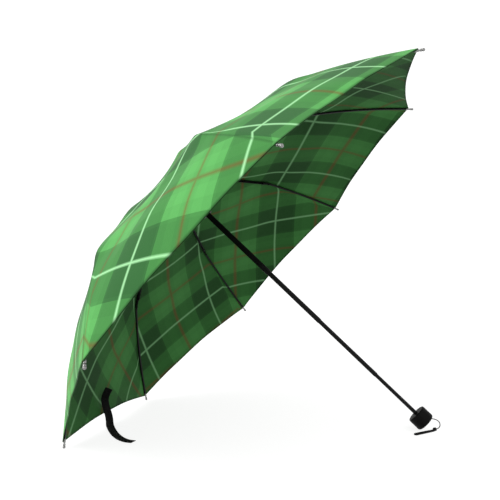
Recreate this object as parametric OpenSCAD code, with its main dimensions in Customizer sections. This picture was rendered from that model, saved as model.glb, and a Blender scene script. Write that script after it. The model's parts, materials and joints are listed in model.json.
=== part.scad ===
// Compact folding umbrella, open, lying on two rib tips and its handle.
// Every piece is drawn about the shaft, with the rim plane at zero and +Z towards the crown,
// and placed() then lays the whole umbrella down: +Z up, +X towards the handle.
// A rib is drawn flat, +X outwards from the shaft and +Y towards the crown, and turned into its own plane.

/* [Canopy] */
// Distance from the shaft's axis to each rib tip
rim_r = 480; // [478:0.5:482]
// Height of the rib pivots above the rim plane
notch_z = 228; // [226:0.5:230]
// How far the cloth stands out between two ribs, close to the hem
gore_bulge = 8; // [0:1:10]
// How far the tight cloth sinks in between two ribs, above the outer ribs
gore_sag = 10; // [0:1:12]
// How far the hem curves in between two rib tips
hem_curve = 12; // [0:1:15]
// Thickness of the canopy cloth along the shaft
cloth_t = 0.6; // [0.5:0.05:0.8]

/* [Ribs] */
// Length of an inner rib between its pivots
inner_len = 155; // [154:0.5:156]
// Slope of the open inner ribs below the horizontal, degrees
inner_slope = 11; // [10.5:0.1:11.5]
// Length of a middle rib between its pivots
middle_len = 148; // [147:0.5:149]
// Slope of the open middle ribs below the horizontal, degrees
middle_slope = 20; // [19.5:0.1:20.5]
// Change of direction along a bent outer rib, degrees
outer_bend = 11; // [10:0.5:12]
// Distance from an inner rib's pivot to its stretcher's pivot, which is the stretcher's length too
stretcher_len = 101.5; // [100:0.5:102]

/* [Shaft] */
// Distance from the rim plane to the bottom of the handle
reach = 432; // [431:0.5:433]
// Outer radii of the four tubes, from the crown down to the handle
tube_r = [5.5, 4.75, 4.15, 3.5];
// Heights at which the upper three tubes end
tube_end = [-35, -168, -310];
// Length of each of the lower three tubes inside the one above it
tube_overlap = [23.5, 25, 25];

/* [Handle] */
// Radius of the handle
handle_r = 18; // [17.8:0.1:18.2]
// Length of the handle
handle_len = 25; // [24.5:0.5:26]
// Rounding of the handle's bottom edge
handle_edge = 4; // [3:0.5:4.5]

/* [Hidden] */
$fn = 48;
RIBS = 8;
ribs = [1:RIBS];
half_gore = 180 / RIBS;

// Running clearances: on straight pins, of a rib's eye on the notch's round ring,
// and the looser one of a stretcher's eye on the runner's ring
fit = 0.05;
ring_fit = 0.17;
open_fit = 0.4;
tube_wall = 0.5;
pin_r = 0.8;
ring_pin_r = 0.65;
eye_r = 1.7;
tongue_w = 2.6;
channel_w = 4.2;
channel_in = 3.0;
web = 0.6;
neck = 3.2;

// Section of an inner rib: its pivots at the notch and the stretcher lie on its own axis
inner_top = 2.4;
inner_low = -1.8;
inner_pivot_y = inner_top + 0.5;
inner_neck = 4.6;

// Section of a middle rib, measured from its inner pivot
middle_top = -0.5;
middle_low = -4.3;
middle_pivot_y = middle_low - 0.5;

// Section of an outer rib, measured from its own pivot
outer_h = 2.8;
outer_w = 3.4;
outer_lift = 0.5 + outer_h / 2;
tip_len = 14;
tip_r = 2.4;
tip_ball_r = 2.6;

// Pivots of an open rib, as [distance from the shaft, height]
ring_r = 12;
pivot_n = [ring_r, notch_z];
pivot_s = pivot_n + along(inner_slope, stretcher_len, 0);
pivot_a = pivot_n + along(inner_slope, inner_len, inner_pivot_y);
pivot_c = pivot_a + along(middle_slope, middle_len, middle_pivot_y);
tip_point = [rim_r, 0];
runner_z = notch_z - 2 * stretcher_len * sin(inner_slope);

// The outer rib's arc, from above its pivot to the tip
chord = norm(tip_point - pivot_c);
chord_slope = atan2(pivot_c[1] - tip_point[1], tip_point[0] - pivot_c[0]);
arc_chord = sqrt(chord * chord - outer_lift * outer_lift);
arc_slope = chord_slope + asin(outer_lift / chord);
arc_r = arc_chord / (2 * sin(outer_bend / 2));
arc_start = pivot_c + along(arc_slope, 0, outer_lift);
tip_bend = asin(tip_len / 2 / arc_r) * 2;

// Lying pose: the rim's two lowest tips and the handle's rounded edge touch the ground
edge_reach = reach - handle_edge;
edge_side = handle_r - handle_edge;
low_side = edge_side - rim_r * cos(half_gore);
tilt = asin((tip_ball_r - handle_edge) / norm([edge_reach, low_side])) - atan2(low_side, edge_reach);
lift = edge_reach * sin(tilt) + edge_side * cos(tilt) + handle_edge;
// Moves the middle of the resting umbrella's box onto the Z axis
shift = 4.2;

// Notch, crown and runner
notch_top = notch_z + 4.6;
notch_low = notch_z - 3.2;
hub_r = 14.5;
slot_w = 3.2;
slot_r = 9.4;
slot_depth = 2.3;
washer_t = 0.8;
cap_r = 12;
runner_low = runner_z - 56;
sleeve_r = 8.5;
flange_r = 10.2;
flange_t = 3;
button_r = 3.2;
button_in = 7.0;
button_out = 9.9;
button_drop = 24;

// Canopy profile along a rib, on the cloth's underside
// and the share of the outer rib that it covers
hem_share = 0.965;
cloth_gap = 1.0;
hub_hole = 6;
profile = [
    [hub_hole, notch_top + washer_t + 0.3],
    [hub_r + 1, notch_top + 0.6],
    pivot_a + along(inner_slope, -75, 2.4),
    pivot_a + along(inner_slope, 0, 3.0),
    pivot_a + along(middle_slope, 75, middle_top + cloth_gap),
    pivot_c + along(middle_slope, 0, 5.6),
    for (f = [0.2:0.2:0.8]) arc_point(f, outer_h / 2 + 1.4),
    arc_point(hem_share, 3.2)
];
// The profile's point at the outer rib's hinge, and how many rows the cloth sinks in for
hinge_row = 5;
sag_rows = 6;
steps = 4;
// Each gore ends this far from the seam along the rib
seam = 0.15;

// Handle pieces: the end cap, and the collar around the shaft
end_cap_t = 6;
end_cap_plug = 3;
collar_t = 4;

// The free cord at the handle, in the lying frame, with the bead and the flat loop beyond it
cord_r = 0.8;
bead_r = 3.2;
bead_len = 6;
loop_r = 1.5;
loop_turn = -140;
cord_route = [
    [318.9, 0, 20.1], [319.6, 0, 19.4], [322.4, -0.3, 19], [326.8, -0.8, 17.8], [330.6, -1.2, 15.6],
    [333, -1.8, 12], [333.2, -3, 8.4], [331.6, -4.6, 5.4], [329, -6.4, 3.8], [326.2, -8, 3.2]
];
loop_half = 2.4;
loop_far = 41;
loop_route = concat(
    [[0.4, 1.6, 0], [6, 1.9, 0], [13, 2.1, 0], [21, 2.3, 0], [30, loop_half, 0]],
    [for (a = [90:-30:-90]) [loop_far + loop_half * cos(a), loop_half * sin(a), 0]],
    [[30, -loop_half, 0], [21, -2.3, 0], [13, -2.1, 0], [6, -1.9, 0], [0.4, -1.6, 0]]
);

// The flat tie strap, in the lying frame, from its seam inside the canopy to its free end
strap_w = 15;
strap_t = 1;
strap_route = [
    [-306.3, -12, 68], [-305.8, -25, 60.5], [-305.3, -33, 52], [-305.3, -31, 40], [-305.3, -25, 28],
    [-304.3, -21, 17], [-300.3, -26, 8], [-292.8, -40, 3], [-281.8, -57, 1.2], [-268.8, -76, 0.6],
    [-254.8, -95, 0.6], [-240.8, -111, 0.6], [-227.8, -123, 0.6], [-214.8, -131, 0.6], [-201.8, -134, 0.6]
];
// How far down the route the strap turns from lying against the cloth to lying on the ground
strap_flat_from = 4;
strap_flat_to = 8;

// A step from a pivot on a link that slopes down by that many degrees
function along(slope, x, y) = [x * cos(slope) + y * sin(slope), y * cos(slope) - x * sin(slope)];
// A point at a share of the outer rib's arc, lifted off the rib's axis
function arc_point(share, off) =
    let (turn = (share - 0.5) * outer_bend)
    arc_start + along(arc_slope, arc_chord / 2 + (arc_r + off) * sin(turn),
                      (arc_r + off) * cos(turn) - arc_r * cos(outer_bend / 2));
function arc_dir(share) = arc_slope + (share - 0.5) * outer_bend;
function rib_angle(k) = half_gore - (k - 1) * 2 * half_gore;
function radial(angle, p) = [p[0] * cos(angle), p[0] * sin(angle), p[1]];

module placed() {
    translate([shift, 0, lift]) rotate([0, tilt - 90, 0]) rotate([0, 0, 180]) children();
}

module rib_plane(k) {
    placed() rotate([0, 0, rib_angle(k)]) rotate([90, 0, 0]) children();
}

// A link's own frame, with its pivot at the origin and its length along +X
module link(pivot, slope) {
    translate([pivot[0], pivot[1], 0]) rotate([0, 0, -slope]) children();
}

module bar(x0, x1, y0, y1, w) {
    translate([x0, y0, -w / 2]) cube([x1 - x0, y1 - y0, w]);
}

module rod(x, y, r, w) {
    translate([x, y, 0]) cylinder(r = r, h = w, center = true, $fn = 32);
}

// A folded-sheet channel, open towards the shaft's foot
module channel(x0, x1, low, top) {
    difference() {
        bar(x0, x1, low, top, channel_w);
        bar(x0 - 1, x1 + 1, low - 1, top - web, channel_in);
    }
}

// Two cheeks around a pivot at a channel's outer end
module cheeks(x, y, low, top) {
    difference() {
        union() {
            rod(x, y, eye_r, channel_w);
            bar(x - eye_r, x + eye_r, min(y, low), max(y, top), channel_w);
        }
        bar(x - 2 * eye_r, x + 2 * eye_r, min(y, low) - 4, max(y, top) + 4, channel_in);
    }
}

module inner_rib(k) {
    color("#1b1b1c") rib_plane(k) link(pivot_n, inner_slope) {
        difference() {
            union() {
                rod(0, 0, eye_r, tongue_w);
                bar(0, inner_neck + 3, -1.4, 1.4, tongue_w);
                difference() {
                    channel(inner_neck, inner_len - eye_r, inner_low, inner_top);
                    bar(inner_len - 2.4, inner_len + 4, inner_low - 1, inner_top + 1, channel_in);
                }
                bar(inner_neck, inner_neck + 3, inner_low, inner_top, channel_w);
                cheeks(inner_len, inner_pivot_y, inner_low + 1, inner_top);
            }
            rod(0, 0, ring_pin_r + ring_fit, channel_w + 2);
        }
        rod(stretcher_len, 0, pin_r, channel_w);
        rod(inner_len, inner_pivot_y, pin_r, channel_w);
    }
}

module stretcher(k) {
    color("#1b1b1c") rib_plane(k) link(pivot_s, 180 - inner_slope) {
        difference() {
            union() {
                rod(0, 0, 1.5, tongue_w);
                rod(stretcher_len, 0, 1.8, tongue_w);
                bar(0, stretcher_len, -1.3, 1.3, tongue_w);
            }
            rod(0, 0, pin_r + fit, channel_w);
            rod(stretcher_len, 0, ring_pin_r + open_fit, channel_w);
        }
    }
}

module middle_rib(k) {
    color("#1b1b1c") rib_plane(k) link(pivot_a, middle_slope) {
        difference() {
            union() {
                rod(0, 0, eye_r, tongue_w);
                bar(0, neck + 3, -2.6, middle_top + 0.4, tongue_w);
                channel(neck, middle_len - eye_r, middle_low, middle_top);
                bar(neck, neck + 3, middle_low, middle_top, channel_w);
                cheeks(middle_len, middle_pivot_y, middle_pivot_y, middle_top);
            }
            rod(0, 0, pin_r + fit, channel_w + 2);
        }
        rod(middle_len, middle_pivot_y, pin_r, channel_w);
        middle_pull_wire();
    }
}

// The wire under the middle rib that pulls the outer rib, with the two feet that hold it
module middle_pull_wire() {
    wire_y = middle_low - 2.2;
    translate([24, wire_y, 0]) rotate([0, 90, 0]) cylinder(r = 0.7, h = middle_len - 44, $fn = 16);
    for (x = [26, middle_len - 24]) bar(x, x + 3, wire_y - 0.9, middle_low + 0.4, channel_w);
}

module outer_rib(k) {
    color("#1b1b1c") rib_plane(k) {
        difference() {
            union() {
                link(pivot_c, arc_dir(0)) {
                    rod(0, 0, eye_r, tongue_w);
                    bar(0, neck + 3, -0.4, outer_lift + 0.9, tongue_w);
                }
                outer_arc(neck, tip_len);
            }
            link(pivot_c, arc_dir(0)) rod(0, 0, pin_r + fit, channel_w + 2);
        }
    }
}

// The bent rod between two distances from its ends
module outer_arc(from_start, from_tip) {
    start_turn = from_start / arc_r * 180 / PI;
    end_turn = from_tip / arc_r * 180 / PI;
    middle = arc_start + along(arc_slope, arc_chord / 2, -arc_r * cos(outer_bend / 2));
    translate([middle[0], middle[1], 0])
        rotate([0, 0, 90 - arc_slope - outer_bend / 2 + end_turn])
            rotate_extrude(angle = outer_bend - start_turn - end_turn, $fn = 720)
                translate([arc_r - outer_h / 2, -outer_w / 2]) square([outer_h, outer_w]);
}

module rib_tip(k) {
    color("#2a2a2a") rib_plane(k) {
        link(tip_point, arc_dir(1) - tip_bend / 2) {
            sphere(r = tip_ball_r, $fn = 32);
            translate([-tip_len, 0, 0]) rotate([0, 90, 0]) cylinder(r = tip_r, h = tip_len);
        }
    }
}

// The wire ring that passes through the eight eyes
module ring(z, r) {
    translate([0, 0, z]) rotate_extrude() translate([ring_r, 0]) circle(r = r, $fn = 24);
}

module slots(z0, z1) {
    for (k = ribs)
        rotate([0, 0, rib_angle(k)]) translate([slot_r, -slot_w / 2, z0]) cube([10, slot_w, z1 - z0]);
}

module notch() {
    color("#161616") placed() difference() {
        translate([0, 0, notch_low]) cylinder(r = hub_r, h = notch_top - notch_low);
        translate([0, 0, notch_low - 1]) cylinder(r = tube_r[0], h = notch_top - notch_low - 1);
        slots(notch_low - 1, notch_z + slot_depth);
        ring(notch_z, ring_pin_r + fit);
    }
}

module notch_ring() {
    color("#b9bcc0") placed() ring(notch_z, ring_pin_r);
}

module crown_washer() {
    color("#202020") placed() translate([0, 0, notch_top]) difference() {
        cylinder(r = 9, h = washer_t);
        translate([0, 0, -1]) cylinder(r = 4.2, h = washer_t + 2);
    }
}

module crown_cap() {
    cap_z = notch_top + washer_t + cloth_t + 0.6;
    color("#161616") placed() {
        translate([0, 0, notch_top + washer_t]) cylinder(r = 5, h = cap_z - notch_top - washer_t + 1);
        translate([0, 0, cap_z]) rotate_extrude() {
            square([cap_r - 2, 3]);
            square([cap_r, 1.2]);
            translate([0, 3]) intersection() {
                scale([1, 0.4]) circle(r = cap_r - 2);
                square(cap_r);
            }
        }
    }
}

// Points of one face of a gore's cloth, from the next rib to rib k in each row of the profile
function cloth_points(k, rise) = [
    for (i = [0:len(profile) - 1], c = [0:steps])
        let (a = rib_angle(k + 1),
             here = profile[i],
             above = profile[max(i - 1, 0)],
             edge = seam / (2 * here[0] * sin(half_gore)),
             t = edge + (1 - 2 * edge) * c / steps,
             middle = 4 * t * (1 - t),
             outwards = max(0, (i - hinge_row) / (len(profile) - 1 - hinge_row)),
             inwards = max(0, min(1, (i - 1) / sag_rows)),
             stand = gore_bulge * sin(180 * pow(outwards, 1.3)) - gore_sag * sin(180 * inwards),
             pull = hem_curve * middle * pow(outwards, 4) / norm(here - above + [0.01, 0]),
             q = here + pull * (above - here),
             p = (1 - t) * radial(a, q) + t * radial(a + 2 * half_gore, q),
             n = radial(a + half_gore, [0.7, 0.7]))
        p + stand * middle * n + [0, 0, rise]
];

module gore(k) {
    rows = len(profile);
    w = steps + 1;
    n = rows * w;
    sides = [
        for (i = [0:rows - 2], c = [0:steps - 1])
            let (a = i * w + c, b = a + 1, d = a + w, e = b + w)
            each [[n + a, n + e, n + b], [n + a, n + d, n + e], [a, b, e], [a, e, d]]
    ];
    crown_and_hem = [
        for (a = [0:steps - 1])
            let (b = a + 1, d = a + (rows - 1) * w, e = d + 1)
            each [[a, n + a, n + b], [a, n + b, b], [d, n + e, n + d], [d, e, n + e]]
    ];
    seams = [
        for (i = [0:rows - 2])
            let (a = i * w, b = a + steps, d = a + w, e = b + w)
            each [[n + d, n + a, a], [n + d, a, d], [n + b, n + e, e], [n + b, e, b]]
    ];
    polyhedron(concat(cloth_points(k, 0), cloth_points(k, cloth_t)), concat(sides, crown_and_hem, seams),
               convexity = 10);
}

// The cloth: eight gores, sewn to each other along the ribs
module canopy() {
    color("#3f9a45") placed() for (k = ribs) gore(k);
}

module runner() {
    color("#161616") placed() difference() {
        union() {
            translate([0, 0, runner_low]) cylinder(r = flange_r, h = flange_t);
            translate([0, 0, runner_low]) cylinder(r = sleeve_r, h = runner_z - runner_low);
            translate([0, 0, runner_z - 4]) cylinder(r = hub_r, h = 7.2);
        }
        translate([0, 0, runner_low - 1]) cylinder(r = tube_r[0] + fit, h = 80);
        slots(runner_z - slot_depth, runner_z + 5);
        ring(runner_z, ring_pin_r + fit);
        button_at() translate([0, 0, tube_r[0] - 0.5 - button_in]) cylinder(r = button_r + fit, h = 10);
    }
}

// The release button's axis, square to the sleeve on the side away from ribs 7 and 8
module button_at() {
    translate([0, 0, runner_z - button_drop]) rotate([0, 0, -90]) rotate([0, 90, 0])
        translate([0, 0, button_in]) children();
}

module runner_ring() {
    color("#b9bcc0") placed() ring(runner_z, ring_pin_r);
}

module runner_button() {
    color("#2c2c2e") placed() button_at() cylinder(r = button_r, h = button_out - button_in);
}

// One shaft tube; the bore takes the next tube with a running fit
module shaft_tube(z0, z1, r, bore) {
    color("#0f0f10") placed() translate([0, 0, z0]) difference() {
        cylinder(r = r, h = z1 - z0);
        translate([0, 0, -1]) cylinder(r = bore, h = z1 - z0 + 2);
    }
}

module handle_body() {
    low = -reach + end_cap_t;
    high = -reach + handle_len - collar_t;
    color("#141414") placed() difference() {
        translate([0, 0, low]) cylinder(r = handle_r, h = high - low, $fn = 96);
        translate([0, 0, -reach + end_cap_t + end_cap_plug]) cylinder(r = tube_r[3], h = handle_len);
        translate([0, 0, low - 1]) cylinder(r = handle_r - 5, h = 1 + end_cap_plug);
    }
}

// Half outline of a round piece with one rounded outer edge at the bottom
module round_foot(r, h, edge) {
    translate([0, edge]) square([r, h - edge]);
    square([r - edge, edge + 0.1]);
    translate([r - edge, edge]) intersection() {
        circle(r = edge);
        translate([-0.1, -edge]) square([edge + 0.1, edge + 0.1]);
    }
}

module handle_end_cap() {
    color("#1c1c1d") placed() translate([0, 0, -reach]) {
        rotate_extrude($fn = 96) round_foot(handle_r, end_cap_t, handle_edge);
        translate([0, 0, end_cap_t - 1]) cylinder(r = handle_r - 5, h = 1 + end_cap_plug);
    }
}

module handle_collar() {
    color("#1c1c1d") placed() difference() {
        translate([0, 0, -reach + handle_len]) mirror([0, 0, 1])
            rotate_extrude($fn = 96) round_foot(handle_r, collar_t, 2.5);
        translate([0, 0, -reach]) cylinder(r = tube_r[3], h = handle_len + 1);
    }
}

// A closed solid swept along a route: [its half axes at each point] and the section's outline
module swept(route, frames, outline) {
    last = len(route) - 1;
    n = len(outline);
    rings = [for (i = [0:last], q = outline) route[i] + q[0] * frames[i][0] + q[1] * frames[i][1]];
    polyhedron(rings, concat(
        [[for (s = [0:n - 1]) s]],
        [[for (s = [n - 1:-1:0]) last * n + s]],
        [for (i = [0:last - 1], s = [0:n - 1])
            let (a = i * n + s, b = i * n + (s + 1) % n)
            each [[a, a + n, b], [b, a + n, b + n]]]));
}

function unit(v) = v / norm(v);
function run(route, i) = unit(route[min(i + 1, len(route) - 1)] - route[max(i - 1, 0)]);
// The section's two directions at a point, the second as close to the given normal as it can be
function section(t, normal) = let (u = unit(cross(normal, t))) [u, cross(t, u)];
function round_outline(r) = [for (a = [0:45:315]) [r * cos(a), r * sin(a)]];

module wrist_cord() {
    frames = [for (i = [0:len(cord_route) - 1]) section(run(cord_route, i), [0, -1, 0.2])];
    color("#101010") swept(cord_route, frames, round_outline(cord_r));
}

// The bead's own frame: +X along the loop, on the ground's level
module at_bead() {
    translate(cord_route[len(cord_route) - 1]) rotate([0, 0, loop_turn]) children();
}

module cord_bead() {
    color("#101010") at_bead() translate([cord_r, 0, 0]) rotate([0, 90, 0])
        cylinder(r = bead_r, h = bead_len);
}

module wrist_loop() {
    frames = [for (i = [0:len(loop_route) - 1]) section(run(loop_route, i), [0, 0, 1])];
    color("#101010") at_bead() translate([cord_r + bead_len, 0, loop_r - bead_r])
        swept(loop_route, frames, round_outline(loop_r));
}

// The flat strap that wraps the closed umbrella, hanging over the hem
module tie_strap() {
    frames = [
        for (i = [0:len(strap_route) - 1])
            let (f = max(0, min(1, (i - strap_flat_from) / (strap_flat_to - strap_flat_from))))
            section(run(strap_route, i), [0.3 * (1 - f), f - 1, f])
    ];
    w = strap_w / 2;
    t = strap_t / 2;
    color("#101010") swept(strap_route, frames, [[w, t], [-w, t], [-w, -t], [w, -t]]);
}

handle_body();
handle_end_cap();
handle_collar();
shaft_tube(tube_end[0], notch_top - 2, tube_r[0], tube_r[1] + fit);  // shaft_tube_1
shaft_tube(tube_end[1], tube_end[0] + tube_overlap[0], tube_r[1], tube_r[2] + fit);  // shaft_tube_2
shaft_tube(tube_end[2], tube_end[1] + tube_overlap[1], tube_r[2], tube_r[3] + fit);  // shaft_tube_3
shaft_tube(-reach + end_cap_t + end_cap_plug + 0.5, tube_end[2] + tube_overlap[2], tube_r[3],  // shaft_tube_4
               tube_r[3] - tube_wall);
notch();
notch_ring();
crown_washer();
crown_cap();
canopy();
tie_strap();
runner();
runner_ring();
runner_button();
wrist_cord();
cord_bead();
wrist_loop();
for (k = ribs) inner_rib(k);
for (k = ribs) stretcher(k);
for (k = ribs) middle_rib(k);
for (k = ribs) outer_rib(k);
for (k = ribs) rib_tip(k);
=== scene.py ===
import bisect
import json
import math

import bpy
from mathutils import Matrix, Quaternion, Vector


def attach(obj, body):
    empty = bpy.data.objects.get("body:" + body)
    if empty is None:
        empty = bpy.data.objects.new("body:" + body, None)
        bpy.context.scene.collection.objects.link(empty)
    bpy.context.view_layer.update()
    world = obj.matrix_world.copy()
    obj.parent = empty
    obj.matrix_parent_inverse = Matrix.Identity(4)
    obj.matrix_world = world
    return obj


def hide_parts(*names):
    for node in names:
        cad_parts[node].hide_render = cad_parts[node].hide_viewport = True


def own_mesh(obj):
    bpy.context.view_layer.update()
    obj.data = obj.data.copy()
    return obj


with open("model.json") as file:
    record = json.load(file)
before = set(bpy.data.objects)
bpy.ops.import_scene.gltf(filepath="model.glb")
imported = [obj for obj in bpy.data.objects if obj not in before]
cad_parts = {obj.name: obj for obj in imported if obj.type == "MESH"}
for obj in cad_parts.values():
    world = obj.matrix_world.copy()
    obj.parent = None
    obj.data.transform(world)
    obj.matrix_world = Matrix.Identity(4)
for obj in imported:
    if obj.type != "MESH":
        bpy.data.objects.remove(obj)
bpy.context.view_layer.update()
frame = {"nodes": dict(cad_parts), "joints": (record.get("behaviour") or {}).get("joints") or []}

# ---------------------------------------------------------------- driving values, in metres and degrees

# The camera; its lens is in millimetres
CAMERA_PLACE = Vector((0.2447, -1.1258, 0.3078))
CAMERA_LOOK = Vector((-0.2183, 0.9755, 0.0258))
CAMERA_ROLL = 1.9
CAMERA_LENS = 42.7

# The ribs: the tips' circle, how far the notch is above it, and the slopes and the bend of the links
RIBS = 8
RIM_R = 0.480
NOTCH_Z = 0.228
INNER_SLOPE = 11
MIDDLE_SLOPE = 20
OUTER_BEND = 11
OUTER_LIFT = 0.0019

# The cloth: how far it stands out near the hem, sinks between the ribs, and curves in at the hem
GORE_BULGE = 0.008
GORE_SAG = 0.010
HEM_CURVE = 0.012
# Its slight waves: their height, how many cross a gore, and how they shift from gore to gore and row to row
WAVE_HEIGHT = 0.0011
WAVES_ACROSS = 2.2
WAVE_SHIFT = 0.37
WAVE_DRIFT = 1.4

# The free cord at the handle: its route, then the bead and the loop beyond it
CORD_D = 0.0016
CORD_ROUTE = [
    (0.3189, 0, 0.0201), (0.3196, 0, 0.0194), (0.3224, -0.0003, 0.0190), (0.3268, -0.0008, 0.0178),
    (0.3306, -0.0012, 0.0156), (0.333, -0.0018, 0.012), (0.3332, -0.003, 0.0084), (0.3316, -0.0046, 0.0054),
    (0.329, -0.0064, 0.0038), (0.3262, -0.008, 0.0032),
]
BEAD_R = 0.0032
BEAD_LEN = 0.006
LOOP_D = 0.003
LOOP_TURN = -140
LOOP_HALF = 0.0024
LOOP_FAR = 0.041
LOOP_SIDE = [(0.0004, 0.0016), (0.006, 0.0019), (0.013, 0.0021), (0.021, 0.0023), (0.030, LOOP_HALF)]

# The flat strap, from its seam inside the canopy to its free end
STRAP_W = 0.015
STRAP_T = 0.001
STRAP_ROUTE = [
    (-0.3063, -0.012, 0.068), (-0.3058, -0.025, 0.0605), (-0.3053, -0.033, 0.052), (-0.3053, -0.031, 0.040),
    (-0.3053, -0.025, 0.028), (-0.3043, -0.021, 0.017), (-0.3003, -0.026, 0.008), (-0.2928, -0.040, 0.003),
    (-0.2818, -0.057, 0.0012), (-0.2688, -0.076, 0.0006), (-0.2548, -0.095, 0.0006),
    (-0.2408, -0.111, 0.0006), (-0.2278, -0.123, 0.0006), (-0.2148, -0.131, 0.0006),
    (-0.2018, -0.134, 0.0006),
]
# Between these places of its route the strap turns from hanging to lying flat
STRAP_FLAT_FROM = 4
STRAP_FLAT_TO = 8

# The print: where its pale lines run and how far apart they are, along its two directions
PRINT_TURN = 45
PRINT_START = (0.071, -0.318)
PRINT_PERIOD = (0.170, 0.224)
# Tones of the bands from a pale line, at 0, to the red line half a period on, at 1
PRINT_BANDS = [(0, 0.0), (0.42, 0.12), (0.47, 0.86), (0.66, 1.0), (0.86, 0.86)]
# Distances from a line's middle at which it starts to fade and is gone, and how strongly it covers the bands
PALE_EDGE = (0.0009, 0.0016)
PALE_COVER = 0.8
RED_EDGE = (0.0020, 0.0032)
RED_COVER = 0.72

# The plated rib tips
TIP_LEN = 0.014
TIP_BALL_R = 0.0026

scene = bpy.context.scene
joints = {j["name"]: j for j in frame["joints"]}
sectors = range(1, RIBS + 1)


def place(joint):
    return Vector(joints[joint]["pos_m"])


def fold_joint(k):
    return "canopy_fold" if k == 1 else f"inner_rib_fold_{k}"


# The umbrella's own directions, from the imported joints
SHAFT = -Vector(joints["upper_tube_slide"]["axis"]).normalized()
NOTCH = sum((place(fold_joint(k)) for k in sectors), Vector()) / RIBS
RADIAL = {k: (place(fold_joint(k)) - NOTCH).normalized() for k in sectors}


def in_rib(k, point):
    """A point of rib k's plane, (distance from the shaft, height above the notch), in the row frame."""
    return NOTCH + RADIAL[k] * point[0] + SHAFT * point[1]


def rib_point(joint):
    away = place(joint) - NOTCH
    return Vector((away.dot(RADIAL[1]), away.dot(SHAFT)))


def along(slope, x, y):
    """A step of x along a link that slopes down by that many degrees, and of y square to it."""
    a = math.radians(slope)
    return Vector((x * math.cos(a) + y * math.sin(a), y * math.cos(a) - x * math.sin(a)))


def smooth_point(points, at):
    """The point at that place of a smooth line through points, counted from 0 at the first one."""
    at = min(max(at, 0), len(points) - 1)
    i = min(int(at), len(points) - 2)
    f = at - i
    p0, p1, p2, p3 = (Vector(points[min(max(i + d, 0), len(points) - 1)]) for d in (-1, 0, 1, 2))
    return (p1 * 2 + (p2 - p0) * f + (p0 * 2 - p1 * 5 + p2 * 4 - p3) * f ** 2
            + (p1 * 3 - p0 - p2 * 3 + p3) * f ** 3) / 2


# ---------------------------------------------------------------- camera

def make_camera():
    data = bpy.data.cameras.new("camera")
    camera = bpy.data.objects.new("camera", data)
    scene.collection.objects.link(camera)
    data.lens = CAMERA_LENS
    data.sensor_width = 36
    data.clip_start = 0.05
    data.clip_end = 30
    camera.location = CAMERA_PLACE
    camera.rotation_mode = "QUATERNION"
    roll = Quaternion((0, 0, 1), -math.radians(CAMERA_ROLL))
    camera.rotation_quaternion = CAMERA_LOOK.to_track_quat("-Z", "Y") @ roll
    scene.camera = camera


# ---------------------------------------------------------------- materials

class Look:
    """A material with a Principled shader, and short calls that add nodes to it."""

    def __init__(self, name, colour, roughness, **values):
        self.material = bpy.data.materials.new(name)
        self.material.use_nodes = True
        self.tree = self.material.node_tree
        self.shader = self.tree.nodes["Principled BSDF"]
        self.set("Base Color", (*colour, 1))
        self.set("Roughness", roughness)
        for key, value in values.items():
            self.set(key.replace("_", " ").title().replace("Ior", "IOR"), value)

    def set(self, socket, value):
        self.shader.inputs[socket].default_value = value

    def node(self, kind, inputs=None, **settings):
        """A node of that kind. inputs gives a number, a colour or another node's output for each socket."""
        made = self.tree.nodes.new("ShaderNode" + kind)
        for key, value in settings.items():
            setattr(made, key, value)
        for key, value in (inputs or {}).items():
            if isinstance(value, bpy.types.NodeSocket):
                self.tree.links.new(value, made.inputs[key])
            else:
                made.inputs[key].default_value = value
        return made

    def maths(self, operation, *values):
        return self.node("Math", dict(enumerate(values)), operation=operation).outputs[0]

    def ramp(self, factor, stops, interpolation="LINEAR"):
        """Grey or coloured steps over a factor: stops are (place, grey or colour)."""
        made = self.node("ValToRGB", {0: factor})
        ramp = made.color_ramp
        ramp.interpolation = interpolation
        while len(ramp.elements) < len(stops):
            ramp.elements.new(0.5)
        for element, (at, colour) in zip(ramp.elements, stops):
            element.position = at
            element.color = (*colour, 1) if isinstance(colour, tuple) else (colour, colour, colour, 1)
        return made.outputs[0]

    def mix(self, factor, a, b, blend_type="MIX"):
        made = self.node("Mix", {0: factor}, data_type="RGBA", blend_type=blend_type)
        for socket, value in ((6, a), (7, b)):
            if isinstance(value, bpy.types.NodeSocket):
                self.tree.links.new(value, made.inputs[socket])
            else:
                made.inputs[socket].default_value = (*value, 1)
        return made.outputs[2]

    def noise(self, scale, detail=2.0, vector=None):
        vector = vector or self.node("TexCoord").outputs["Object"]
        return self.node("TexNoise", {"Vector": vector, "Scale": scale, "Detail": detail}).outputs["Fac"]

    def bump(self, height, strength, distance):
        made = self.node("Bump", {"Height": height, "Strength": strength, "Distance": distance})
        self.join(made.outputs[0], "Normal")

    def join(self, output, socket):
        self.tree.links.new(output, self.shader.inputs[socket])


def speckled(name, colour, roughness, grain, spread=0.08, strength=0.15, **values):
    """A plain finish with a fine grain in its gloss, its colour and its surface."""
    look = Look(name, colour, roughness, **values)
    fine = look.noise(grain, 3)
    broad = look.noise(grain / 12, 2)
    look.join(look.ramp(broad, [(0.3, roughness - spread), (0.7, roughness + spread)]), "Roughness")
    lighter = tuple(c * 1.5 + 0.0005 for c in colour)
    look.join(look.mix(look.ramp(fine, [(0.45, 0.0), (0.8, 1.0)]), colour, lighter), "Base Color")
    look.bump(fine, strength, 0.0002)
    return look.material


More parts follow.
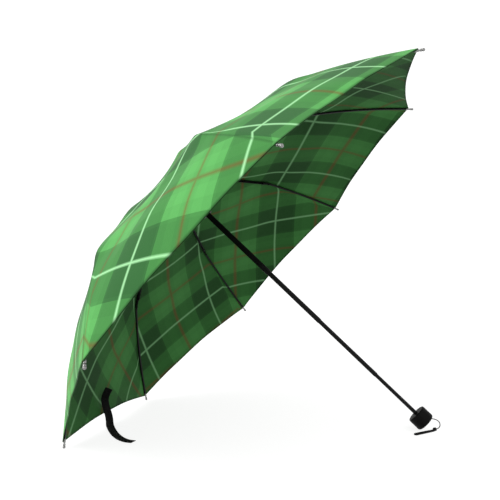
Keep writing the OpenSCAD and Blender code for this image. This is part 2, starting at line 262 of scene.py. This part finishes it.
def printed_cloth(name, dark, middle, light, pale, red, roughness):
    """The tartan print: bands of two tones each way, and a pale and a red line in the middle of them."""
    look = Look(name, middle, roughness, specular_ior_level=0.06)
    flat = look.node("UVMap", uv_map="print").outputs[0]
    parts = look.node("SeparateXYZ", {0: flat})
    waver = look.noise(9, 1, flat)
    tones, pales, reds = [], [], []
    for direction in (0, 1):
        half = PRINT_PERIOD[direction] / 2
        shifted = look.maths("SUBTRACT", parts.outputs[direction], PRINT_START[direction])
        shifted = look.maths("ADD", shifted, look.maths("MULTIPLY", waver, 0.002))
        away = look.maths("PINGPONG", shifted, half)
        share = look.maths("DIVIDE", away, half)
        tones.append(look.ramp(share, PRINT_BANDS, "CONSTANT"))
        pales.append(look.ramp(away, [(PALE_EDGE[0], 1.0), (PALE_EDGE[1], 0.0)]))
        reds.append(look.ramp(away, [(half - RED_EDGE[1], 0.0), (half - RED_EDGE[0], 1.0)]))
    tone = look.maths("MULTIPLY", look.maths("ADD", *tones), 0.5)
    colour = look.ramp(tone, [(0, dark), (0.5, middle), (1, light)])
    red_share = look.maths("MULTIPLY", look.maths("MAXIMUM", *reds), RED_COVER)
    colour = look.mix(red_share, colour, red)
    pale_share = look.maths("MULTIPLY", look.maths("MAXIMUM", *pales), PALE_COVER)
    colour = look.mix(pale_share, colour, pale)

    # Thread: a fine diagonal twill, uneven dye, and the sewing along the ribs and the hem
    threads = {"Vector": flat, "Scale": 260, "Distortion": 1.2, "Detail": 1, "Detail Scale": 2}
    twill = look.node("TexWave", threads, wave_type="BANDS", bands_direction="DIAGONAL").outputs["Fac"]
    slub = look.noise(420, 2, look.node("Mapping", {"Vector": flat, "Scale": (1, 0.25, 1)}).outputs[0])
    dye = look.noise(14, 3, flat)
    worn = look.maths("ADD", look.maths("MULTIPLY", twill, 0.07), look.maths("MULTIPLY", slub, 0.10))
    worn = look.maths("ADD", worn, look.maths("MULTIPLY", dye, 0.10))
    shade = look.maths("ADD", worn, 0.865)
    grey = look.node("CombineColor", {0: shade, 1: shade, 2: shade}).outputs[0]
    colour = look.mix(1.0, colour, grey, "MULTIPLY")
    sewing = look.node("SeparateXYZ", {0: look.node("UVMap", uv_map="sewing").outputs[0]})
    from_rib, from_hem = sewing.outputs[0], sewing.outputs[1]
    seam = look.ramp(from_rib, [(0.0, 1.0), (0.0012, 0.6), (0.0018, 0.0)])
    hem = look.ramp(from_hem, [(0.0, 1.0), (0.0011, 1.0), (0.0016, 0.0)])
    stitch = look.ramp(from_hem, [(0.0052, 0.0), (0.0055, 0.8), (0.0060, 0.8), (0.0063, 0.0)])
    lines = look.maths("MAXIMUM", look.maths("MAXIMUM", look.maths("MULTIPLY", seam, 0.55), stitch), hem)
    colour = look.mix(look.maths("MULTIPLY", lines, 0.6), colour, tuple(c * 0.12 for c in dark))
    look.join(colour, "Base Color")
    height = look.maths("ADD", look.maths("MULTIPLY", twill, 0.5), slub)
    height = look.maths("SUBTRACT", height, look.maths("MULTIPLY", lines, 2.0))
    look.bump(height, 0.25, 0.0003)
    return look.material


def woven(name, colour, roughness, scale, uv):
    """Black tape or braid: two crossing sets of threads along the piece's own directions."""
    look = Look(name, colour, roughness, specular_ior_level=0.1)
    flat = look.node("UVMap", uv_map=uv).outputs[0] if uv else look.node("TexCoord").outputs["Object"]
    across = look.node("TexWave", {"Vector": flat, "Scale": scale, "Distortion": 0.6},
                       bands_direction="X").outputs["Fac"]
    down = look.node("TexWave", {"Vector": flat, "Scale": scale, "Distortion": 0.6},
                     bands_direction="Y").outputs["Fac"]
    threads = look.maths("MULTIPLY", across, down)
    lighter = tuple(c * 2 + 0.001 for c in colour)
    look.join(look.mix(threads, colour, lighter), "Base Color")
    look.bump(threads, 0.5, 0.0003)
    return look.material


def make_materials():
    return {
        "outside": printed_cloth(
            "cloth_outside", dark=(0.024, 0.110, 0.026), middle=(0.048, 0.205, 0.046),
            light=(0.090, 0.350, 0.085), pale=(0.38, 0.76, 0.38), red=(0.150, 0.050, 0.012), roughness=0.55),
        # The cloth's inside: the outside's print darkened to about a third of its brightness, which is
        # painted shade under the canopy
        "inside": printed_cloth(
            "cloth_inside_painted_shade", dark=(0.008, 0.037, 0.008), middle=(0.017, 0.075, 0.016),
            light=(0.031, 0.124, 0.029), pale=(0.12, 0.26, 0.12), red=(0.085, 0.024, 0.009), roughness=0.65),
        "tape": woven("black_tape", (0.0025, 0.0025, 0.0025), 0.8, 420, "tape"),
        "braid": woven("black_braid", (0.003, 0.003, 0.003), 0.7, 700, None),
        "handle": speckled("handle_plastic", (0.0025, 0.0025, 0.0025), 0.5, 900, specular_ior_level=0.05),
        "plastic": speckled("black_plastic", (0.003, 0.003, 0.003), 0.35, 700, specular_ior_level=0.1),
        "button": speckled("button_plastic", (0.012, 0.012, 0.012), 0.35, 700, specular_ior_level=0.2),
        "enamel": speckled("black_enamel", (0.002, 0.002, 0.002), 0.30, 500, 0.06, 0.08,
                           specular_ior_level=0.1),
        "rib": speckled("rib_enamel", (0.002, 0.002, 0.002), 0.4, 600, 0.08, 0.1, specular_ior_level=0.1),
        "nickel": speckled("nickel_plate", (0.20, 0.20, 0.195), 0.24, 800, 0.08, 0.1, metallic=1.0),
        "wire": speckled("steel_wire", (0.5, 0.5, 0.5), 0.3, 800, 0.08, 0.1, metallic=1.0),
    }


# ---------------------------------------------------------------- pieces

def mesh_piece(name, verts, faces, materials):
    mesh = bpy.data.meshes.new(name)
    mesh.from_pydata([tuple(v) for v in verts], [], faces)
    for m in materials:
        mesh.materials.append(m)
    for polygon in mesh.polygons:
        polygon.use_smooth = True
    mesh.update()
    piece = bpy.data.objects.new(name, mesh)
    scene.collection.objects.link(piece)
    return piece


def cord_piece(name, points, diameter, material):
    """A round cord along a smooth curve through points."""
    curve = bpy.data.curves.new(name, "CURVE")
    curve.dimensions = "3D"
    curve.resolution_u = 6
    curve.bevel_depth = diameter / 2
    curve.bevel_resolution = 4
    curve.use_fill_caps = True
    spline = curve.splines.new("BEZIER")
    spline.bezier_points.add(len(points) - 1)
    for knot, point in zip(spline.bezier_points, points):
        knot.co = point
        knot.handle_left_type = knot.handle_right_type = "AUTO"
    curve.materials.append(material)
    piece = bpy.data.objects.new(name, curve)
    scene.collection.objects.link(piece)
    return piece


def turned(name, outline, foot, axis, material, sides=32):
    """A round piece: outline is (distance up the axis, radius), from the foot point up."""
    turn = Vector((0, 0, 1)).rotation_difference(Vector(axis).normalized())
    verts, faces = [], []
    for h, r in outline:
        for s in range(sides):
            a = 2 * math.pi * s / sides
            verts.append(Vector(foot) + turn @ Vector((r * math.cos(a), r * math.sin(a), h)))
    for i in range(len(outline) - 1):
        for s in range(sides):
            e = (s + 1) % sides
            faces.append((i * sides + s, i * sides + e, (i + 1) * sides + e, (i + 1) * sides + s))
    faces.append(tuple(range(sides - 1, -1, -1)))
    faces.append(tuple(range((len(outline) - 1) * sides, len(outline) * sides)))
    return mesh_piece(name, verts, faces, [material])


def make_cords(looks):
    turn = math.radians(LOOP_TURN)
    forward = Vector((math.cos(turn), math.sin(turn), 0))
    left = Vector((-math.sin(turn), math.cos(turn), 0))
    start = Vector(CORD_ROUTE[-1])
    bead_foot = start + forward * CORD_D / 2

    outline = [(0, 0.0014), (0.0003, 0.0024), (0.0010, 0.0031), (0.0020, BEAD_R), (0.0029, 0.0030),
               (0.0034, 0.0030), (0.0040, BEAD_R), (0.0050, 0.0031), (0.0057, 0.0024), (BEAD_LEN, 0.0014)]
    bead = turned("cord_bead_piece", outline, bead_foot, forward, looks["plastic"])
    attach(bead, "handle")
    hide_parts("cord_bead")

    lead = cord_piece("wrist_cord_piece", CORD_ROUTE, CORD_D, looks["braid"])
    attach(lead, "handle")
    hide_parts("wrist_cord")

    bend = [(LOOP_FAR + LOOP_HALF * math.cos(a), LOOP_HALF * math.sin(a))
            for a in (math.radians(d) for d in range(90, -91, -30))]
    flat = LOOP_SIDE + bend + [(x, -y) for x, y in reversed(LOOP_SIDE)]
    base = bead_foot + forward * BEAD_LEN
    base.z = LOOP_D / 2
    route = [base + forward * x + left * y for x, y in flat]
    loop = cord_piece("wrist_loop_piece", route, LOOP_D, looks["braid"])
    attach(loop, "handle")
    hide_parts("wrist_loop")


# ---------------------------------------------------------------- canopy

PIVOT_A = rib_point("middle_rib_fold_1")
PIVOT_C = rib_point("outer_rib_fold_1")
TIP = Vector((RIM_R, -NOTCH_Z))


def outer_arc():
    """The bent outer rib as (its centre, its radius, its slope at the middle)."""
    to_tip = TIP - PIVOT_C
    chord = math.sqrt(to_tip.length_squared - OUTER_LIFT ** 2)
    slope = math.degrees(math.atan2(-to_tip[1], to_tip[0]) + math.asin(OUTER_LIFT / to_tip.length))
    radius = chord / (2 * math.sin(math.radians(OUTER_BEND) / 2))
    start = PIVOT_C + along(slope, 0, OUTER_LIFT)
    centre = start + along(slope, chord / 2, -radius * math.cos(math.radians(OUTER_BEND) / 2))
    return centre, radius, slope


def arc_point(share, off):
    centre, radius, slope = outer_arc()
    turn = math.radians((share - 0.5) * OUTER_BEND)
    return centre + along(slope, (radius + off) * math.sin(turn), (radius + off) * math.cos(turn))


# The cloth's line above a rib, from the crown to the hem
PROFILE = [
    (0.006, 0.0057), (0.0155, 0.0052), PIVOT_A + along(INNER_SLOPE, -0.075, 0.0024),
    PIVOT_A + along(INNER_SLOPE, 0, 0.003), PIVOT_A + along(MIDDLE_SLOPE, 0.075, 0.0005),
    PIVOT_C + along(MIDDLE_SLOPE, 0, 0.0056), arc_point(0.2, 0.0028), arc_point(0.4, 0.0028),
    arc_point(0.6, 0.0028), arc_point(0.8, 0.0028), arc_point(0.965, 0.0032),
]
# Places on it over the two hinges and at the hem, and for how many places from the first the cloth sinks in
AT_A, AT_C, AT_HEM = 3, 5, 10
SAG_ROWS = 6
# Each link's stretch of the cloth, as its first place, its last place and its rows
ZONES = {"inner": (0, AT_A, 12), "middle": (AT_A, AT_C, 10), "outer": (AT_C, AT_HEM, 24)}
COLUMNS = 12
# Heights of the cloth's faces over the line, and the turned hem's depth in places and its lower face
OUTSIDE = 0.0006
INSIDE = 0.0001
HEM_BAND = 0.16
HEM_STEP = 0.01
HEM_LIFT = -0.0008
# The cloth sinks and stands half-way between outwards and along the shaft, about the root of a half of each
HALF_WAY = 0.7


def profile(at):
    return smooth_point(PROFILE, at)


def lengths_down(steps=400):
    """The length of the cloth down the middle of a gore, from the crown to each place of the profile."""
    lengths, total = [0.0], 0.0
    for i in range(steps):
        a, b = (profile(AT_HEM * j / steps) for j in (i, i + 1))
        total += math.hypot((b[0] - a[0]) * math.cos(math.pi / RIBS), b[1] - a[1])
        lengths.append(total)
    return lengths


LENGTHS = lengths_down()


def flat_length(at):
    place_in = min(max(at / AT_HEM, 0), 1) * (len(LENGTHS) - 1)
    i = min(int(place_in), len(LENGTHS) - 2)
    return LENGTHS[i] + (LENGTHS[i + 1] - LENGTHS[i]) * (place_in - i)


def cloth_length(t, at):
    """How far down the flat gore that row of the cloth lies: between the ribs the hem curves in."""
    pull = HEM_CURVE * 4 * t * (1 - t) * max(0.0, (at - AT_C) / (AT_HEM - AT_C)) ** 4
    return flat_length(at) - pull


def place_at(length):
    i = min(bisect.bisect_right(LENGTHS, length), len(LENGTHS) - 1)
    below = LENGTHS[i - 1]
    return (i - 1 + (length - below) / (LENGTHS[i] - below)) * AT_HEM / (len(LENGTHS) - 1)


def undulation(g, t, at):
    """The slight waves of the stretched cloth, nothing along the ribs and fuller towards the hem."""
    wave = WAVE_HEIGHT * math.sin(math.pi * t) * (at / AT_HEM) ** 2
    return wave * math.sin(2 * math.pi * (WAVES_ACROSS * t + WAVE_SHIFT * g) + WAVE_DRIFT * at)


def cloth_point(g, t, at, lift=0.0):
    """A point of gore g's cloth, t of the way from rib g to the next one."""
    p = profile(place_at(cloth_length(t, at)) if at > AT_C else at)
    out = max(0.0, (at - AT_C) / (AT_HEM - AT_C))
    sag = GORE_SAG * math.sin(math.pi * min(max((at - 1) / SAG_ROWS, 0.0), 1.0))
    stand = (GORE_BULGE * math.sin(math.pi * out ** 1.3) - sag) * 4 * t * (1 - t) + undulation(g, t, at)
    outwards = (RADIAL[g] + RADIAL[g % RIBS + 1]).normalized()
    chord = in_rib(g, p).lerp(in_rib(g % RIBS + 1, p), t)
    return chord + (outwards + SHAFT) * HALF_WAY * stand + SHAFT * lift


def cloth_normal(g, t, at):
    step = 0.01
    sideways = cloth_point(g, t + step, at) - cloth_point(g, t - step, at)
    down = cloth_point(g, t, min(at + step, AT_HEM)) - cloth_point(g, t, max(at - step, 0))
    normal = sideways.cross(down).normalized()
    return normal if normal.dot(SHAFT) > 0 else -normal


def half_width(at):
    return profile(at)[0] * math.sin(math.pi / RIBS)


def print_place(g, t, at):
    """Where a point of the cloth lies in the flat print."""
    s = cloth_length(t, at)
    w = (1 - 2 * t) * half_width(place_at(s))
    a = math.radians(PRINT_TURN - (g - 1) * 360 / RIBS)
    return s * math.cos(a) - w * math.sin(a), s * math.sin(a) + w * math.cos(a)


def sewing_place(t, at):
    return min(t, 1 - t) * 2 * half_width(at), cloth_length(t, AT_HEM) - cloth_length(t, at)


def rows_of(zone):
    """The rows of the cloth over a zone, each as (place on the profile, height of its inside face)."""
    first, last, rows = ZONES[zone]
    ats = [first + (last - first) * i / rows for i in range(rows + 1)]
    if zone != "outer":
        return [(at, INSIDE) for at in ats]
    fold = AT_HEM - HEM_BAND
    plain = [(at, INSIDE) for at in ats if at < fold - 2 * HEM_STEP] + [(fold - HEM_STEP, INSIDE)]
    return plain + [(fold, HEM_LIFT), (AT_HEM, HEM_LIFT)]


def cloth_sector(k, zone, looks):
    """The cloth over one link of rib k, as far as the middle of the gores on both sides of it."""
    rows = rows_of(zone)
    before = (k - 2) % RIBS + 1
    columns = [(before, 0.5 + 0.5 * c / COLUMNS) for c in range(COLUMNS)]
    columns += [(k, 0.5 * c / COLUMNS) for c in range(COLUMNS + 1)]
    verts, places, faces, sides = [], [], [], []
    for at, low in rows:
        for g, t in columns:
            for lift in (OUTSIDE, low):
                verts.append(cloth_point(g, t, at, lift))
                places.append((g, t, at))

    n, last_row, last_column = len(columns), len(rows) - 1, len(columns) - 1

    def at_corner(row, column, inside):
        return 2 * (row * n + column) + inside

    for row in range(last_row):
        for c in range(last_column):
            ring = ((row, c), (row, c + 1), (row + 1, c + 1), (row + 1, c))
            faces.append([at_corner(*corner, 0) for corner in ring])
            faces.append([at_corner(*corner, 1) for corner in reversed(ring)])
            sides += [0, 1]
    rim = [(0, c) for c in range(n)] + [(row, last_column) for row in range(1, last_row + 1)]
    rim += [(last_row, c) for c in range(last_column - 1, -1, -1)]
    rim += [(row, 0) for row in range(last_row - 1, 0, -1)]
    for a, b in zip(rim, rim[1:] + rim[:1]):
        faces.append([at_corner(*b, 0), at_corner(*a, 0), at_corner(*a, 1), at_corner(*b, 1)])
        sides.append(2)

    piece = mesh_piece(f"cloth_{zone}_{k}", verts, faces, [looks["outside"], looks["inside"]])
    mesh = piece.data
    print_map = mesh.uv_layers.new(name="print")
    sewing_map = mesh.uv_layers.new(name="sewing")
    printed = [print_place(*at) for at in places]
    sewn = [sewing_place(*at[1:]) for at in places]
    normals = [cloth_normal(*at) for at in places[::2]]
    corner_normals = []
    for polygon, side in zip(mesh.polygons, sides):
        # Inside faces and cut edges get the inside cloth, whose darkened print is painted shade
        polygon.material_index = min(side, 1)
        for loop in polygon.loop_indices:
            v = mesh.loops[loop].vertex_index
            print_map.data[loop].uv = printed[v]
            sewing_map.data[loop].uv = sewn[v]
            corner_normals.append((normals[v // 2], -normals[v // 2], polygon.normal)[side])
    mesh.normals_split_custom_set(corner_normals)
    return piece


def make_canopy(looks):
    bodies = {"inner": "inner_rib", "middle": "middle_rib", "outer": "outer_rib"}
    for k in sectors:
        for zone, (first, last, _) in ZONES.items():
            piece = cloth_sector(k, zone, looks)
            body = f"{bodies[zone]}_{k}"
            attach(piece, body)
            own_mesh(piece)
            if (k, zone) == (1, "inner"):
                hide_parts("canopy")


# ---------------------------------------------------------------- strap, tips and the CAD pieces' finish

def make_strap(looks):
    """The flat strap: it faces sideways where it hangs, and up where it lies on the floor."""
    rings = 84
    outline = [(0.5, 0.3), (0.47, 0.5), (0.30, 0.5), (0.0, 0.42), (-0.30, 0.5), (-0.47, 0.5),
               (-0.5, -0.3), (-0.47, -0.5), (-0.30, -0.5), (0.0, -0.42), (0.30, -0.5), (0.47, -0.5)]
    verts, faces, uvs = [], [], []
    last = len(STRAP_ROUTE) - 1
    travelled, before = 0.0, None
    for i in range(rings + 1):
        at = last * i / rings
        point = smooth_point(STRAP_ROUTE, at)
        ahead = smooth_point(STRAP_ROUTE, at + 0.05) - smooth_point(STRAP_ROUTE, at - 0.05)
        ahead.normalize()
        f = min(max((at - STRAP_FLAT_FROM) / (STRAP_FLAT_TO - STRAP_FLAT_FROM), 0), 1)
        side = Vector((0.3 * (1 - f), f - 1, f)).cross(ahead).normalized()
        up = ahead.cross(side)
        travelled += (point - before).length if before else 0
        before = point
        for x, y in outline:
            verts.append(point + side * x * STRAP_W + up * y * STRAP_T)
            uvs.append((travelled, x * STRAP_W))
    n = len(outline)
    for i in range(rings):
        for s in range(n):
            e = (s + 1) % n
            faces.append((i * n + s, i * n + n + s, i * n + n + e, i * n + e))
    faces.append(tuple(range(n)))
    faces.append(tuple(range(rings * n + n - 1, rings * n - 1, -1)))
    strap = mesh_piece("strap_tape", verts, faces, [looks["tape"]])
    tape = strap.data.uv_layers.new(name="tape")
    for loop in strap.data.loops:
        tape.data[loop.index].uv = uvs[loop.vertex_index]
    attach(strap, "outer_rib_1")
    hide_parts("tie_strap")
    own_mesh(strap)


def make_tips(looks):
    """The plated end of each rib, with the shoulder that the canopy's corner is sewn behind."""
    outline = [(0, 0.0017), (0.0004, 0.0021), (0.0060, 0.0022), (0.0066, 0.0017), (0.0082, 0.0017),
               (0.0089, 0.0022), (0.0112, 0.0023), (0.0124, 0.0017), (0.0130, 0.0016)]
    ball = [(TIP_LEN - TIP_BALL_R * math.cos(a), TIP_BALL_R * math.sin(a))
            for a in (math.radians(d) for d in range(50, 176, 15))]
    rib_length = outer_arc()[1] * math.radians(OUTER_BEND)
    for k in sectors:
        tip = in_rib(k, TIP)
        back = in_rib(k, arc_point(1 - TIP_LEN / rib_length, 0))
        out = (tip - back).normalized()
        piece = turned(f"tip_{k}", outline + ball, tip - out * TIP_LEN, out, looks["nickel"], 24)
        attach(piece, f"outer_rib_{k}")
        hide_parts(f"rib_tip_{k}")


def finish_cad_nodes(looks):
    finishes = {"handle_body": "handle", "handle_end_cap": "handle", "handle_collar": "handle",
                "runner_button": "button", "notch_ring": "wire", "runner_ring": "wire"}
    for name, node in frame["nodes"].items():
        if name.startswith("shaft_tube"):
            finish = "enamel"
        elif name.startswith(("inner_rib", "middle_rib", "outer_rib", "stretcher")):
            finish = "rib"
        else:
            finish = finishes.get(name, "plastic")
        node.data.materials.clear()
        node.data.materials.append(looks[finish])


# ---------------------------------------------------------------- floor and lights

def make_floor():
    """A pale floor that curves up into a backdrop far behind."""
    far, high, bend = 4.0, 6.0, 1.5
    line = [(-6.0, 0.0), (far - bend, 0.0)]
    line += [(far - bend + bend * math.sin(a), bend - bend * math.cos(a))
             for a in (math.radians(d) for d in range(6, 91, 6))]
    line.append((far, high))
    verts = [(x, y, z) for y, z in line for x in (-9.0, 9.0)]
    faces = [(2 * i, 2 * i + 1, 2 * i + 3, 2 * i + 2) for i in range(len(line) - 1)]
    # Softly lit from below as well, like a light table, so shadows stay faint
    look = Look("floor", (0.25, 0.25, 0.25), 0.9, specular_ior_level=0.0, emission_color=(1, 1, 1, 1),
                emission_strength=0.84)
    mesh_piece("floor", verts, faces, [look.material])


def area_light(name, at, target, size, power):
    data = bpy.data.lights.new(name, "AREA")
    data.size = size
    data.energy = power
    light = bpy.data.objects.new(name, data)
    light.location = at
    light.rotation_mode = "QUATERNION"
    light.rotation_quaternion = (Vector(target) - Vector(at)).to_track_quat("-Z", "Y")
    scene.collection.objects.link(light)


def make_lights():
    world = bpy.data.worlds.new("studio")
    world.use_nodes = True
    background = world.node_tree.nodes["Background"]
    background.inputs["Color"].default_value = (1, 1, 1, 1)
    background.inputs["Strength"].default_value = 1.25
    scene.world = world
    area_light("key", (-2.2, -1.5, 1.7), (-0.2, 0, 0.15), 1.6, 42)
    area_light("fill", (2.0, -1.6, 1.2), (0, 0, 0.3), 1.8, 6)


scene.view_settings.view_transform = "Standard"
looks = make_materials()
make_camera()
make_cords(looks)
make_canopy(looks)
make_strap(looks)
make_tips(looks)
finish_cad_nodes(looks)
make_floor()
make_lights()
